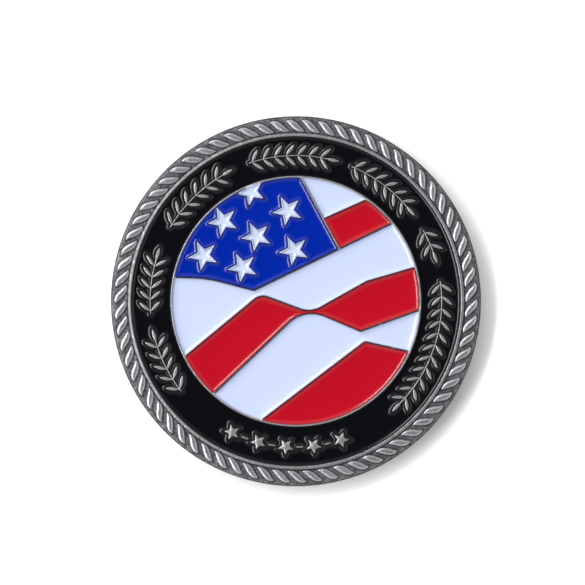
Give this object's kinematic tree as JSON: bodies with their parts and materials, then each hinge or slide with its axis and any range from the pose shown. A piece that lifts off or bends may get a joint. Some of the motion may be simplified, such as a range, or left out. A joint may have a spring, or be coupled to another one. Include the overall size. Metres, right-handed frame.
{
  "type": "challenge coin",
  "caption": "Round struck soft-enamel coin with a rope border, a black ring with laurel sprigs and a waving striped flag with a starred canton; relief on the reverse.",
  "frame": {"origin": "centre of the reverse, on the plane that the coin rests on", "axes": "+Z out of the obverse, along the coin's thickness; +Y towards the top of the design; +X to the right of the design"},
  "size_m": [0.0444, 0.0444, 0.003],
  "materials": {
    "antique_silver": "satin",
    "black_enamel": "gloss",
    "blue_enamel": "gloss",
    "red_enamel": "gloss",
    "white_enamel": "gloss"
  },
  "bodies": {
    "root": {"struck_body": "antique_silver", "border_black_enamel": "black_enamel", "canton_blue_enamel": "blue_enamel", "white_stripe_1_enamel": "white_enamel", "white_stripe_2_enamel": "white_enamel", "white_stripe_3_enamel": "white_enamel", "red_stripe_1_enamel": "red_enamel", "red_stripe_2_enamel": "red_enamel", "red_stripe_3_enamel": "red_enamel", "star_1_enamel": "white_enamel", "star_2_enamel": "white_enamel", "star_3_enamel": "white_enamel", "star_4_enamel": "white_enamel", "star_5_enamel": "white_enamel", "star_6_enamel": "white_enamel", "star_7_enamel": "white_enamel"}
  },
  "joints": []
}
